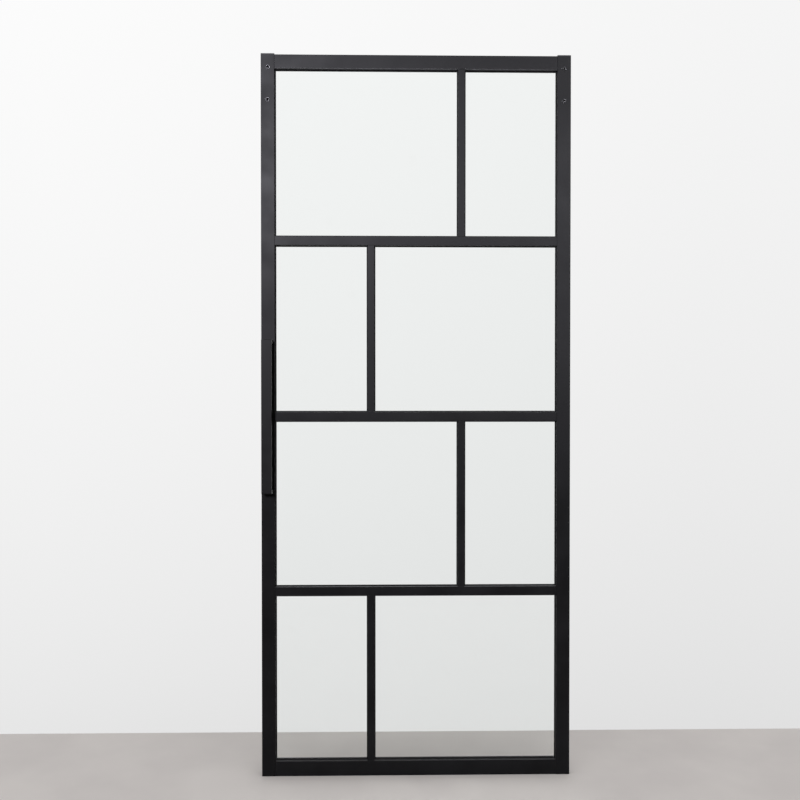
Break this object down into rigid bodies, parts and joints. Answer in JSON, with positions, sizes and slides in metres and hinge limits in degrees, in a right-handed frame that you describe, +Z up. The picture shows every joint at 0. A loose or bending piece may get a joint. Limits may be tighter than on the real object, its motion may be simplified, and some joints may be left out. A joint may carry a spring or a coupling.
{
  "type": "glass barn door",
  "caption": "Sliding door leaf: slim black metal frame with staggered glass panes, a flat-bar pull handle, and threaded inserts for strap hangers.",
  "frame": {"origin": "front face of the left stile, midway between the two threaded inserts for the left strap hanger", "axes": "+X across the leaf to the right as seen from the front, +Y through the leaf from front to back, +Z up"},
  "size_m": [0.914, 0.0736, 2.134],
  "materials": {
    "powder_coated_aluminium": "satin",
    "clear_glass": "polished",
    "glazing_rubber": "matte",
    "black_plastic": "matte",
    "powder_coated_steel": "satin",
    "black_zinc_steel": "satin"
  },
  "bodies": {
    "root": {"left_stile": "powder_coated_aluminium", "right_stile": "powder_coated_aluminium", "top_rail": "powder_coated_aluminium", "upper_cross_rail": "powder_coated_aluminium", "middle_cross_rail": "powder_coated_aluminium", "lower_cross_rail": "powder_coated_aluminium", "bottom_rail": "powder_coated_aluminium", "top_muntin": "powder_coated_aluminium", "upper_muntin": "powder_coated_aluminium", "lower_muntin": "powder_coated_aluminium", "bottom_muntin": "powder_coated_aluminium", "top_left_pane": "clear_glass", "top_right_pane": "clear_glass", "upper_left_pane": "clear_glass", "upper_right_pane": "clear_glass", "lower_left_pane": "clear_glass", "lower_right_pane": "clear_glass", "bottom_left_pane": "clear_glass", "bottom_right_pane": "clear_glass", "top_left_gasket": "glazing_rubber", "top_right_gasket": "glazing_rubber", "upper_left_gasket": "glazing_rubber", "upper_right_gasket": "glazing_rubber", "lower_left_gasket": "glazing_rubber", "lower_right_gasket": "glazing_rubber", "bottom_left_gasket": "glazing_rubber", "bottom_right_gasket": "glazing_rubber", "left_stile_cap": "black_plastic", "right_stile_cap": "black_plastic", "left_stile_foot_plug": "black_plastic", "right_stile_foot_plug": "black_plastic", "pull_handle": "powder_coated_steel", "handle_screw_lower": "black_zinc_steel", "handle_screw_upper": "black_zinc_steel", "left_hanger_insert_lower": "black_zinc_steel", "left_hanger_insert_upper": "black_zinc_steel", "right_hanger_insert_lower": "black_zinc_steel", "right_hanger_insert_upper": "black_zinc_steel"}
  },
  "joints": []
}
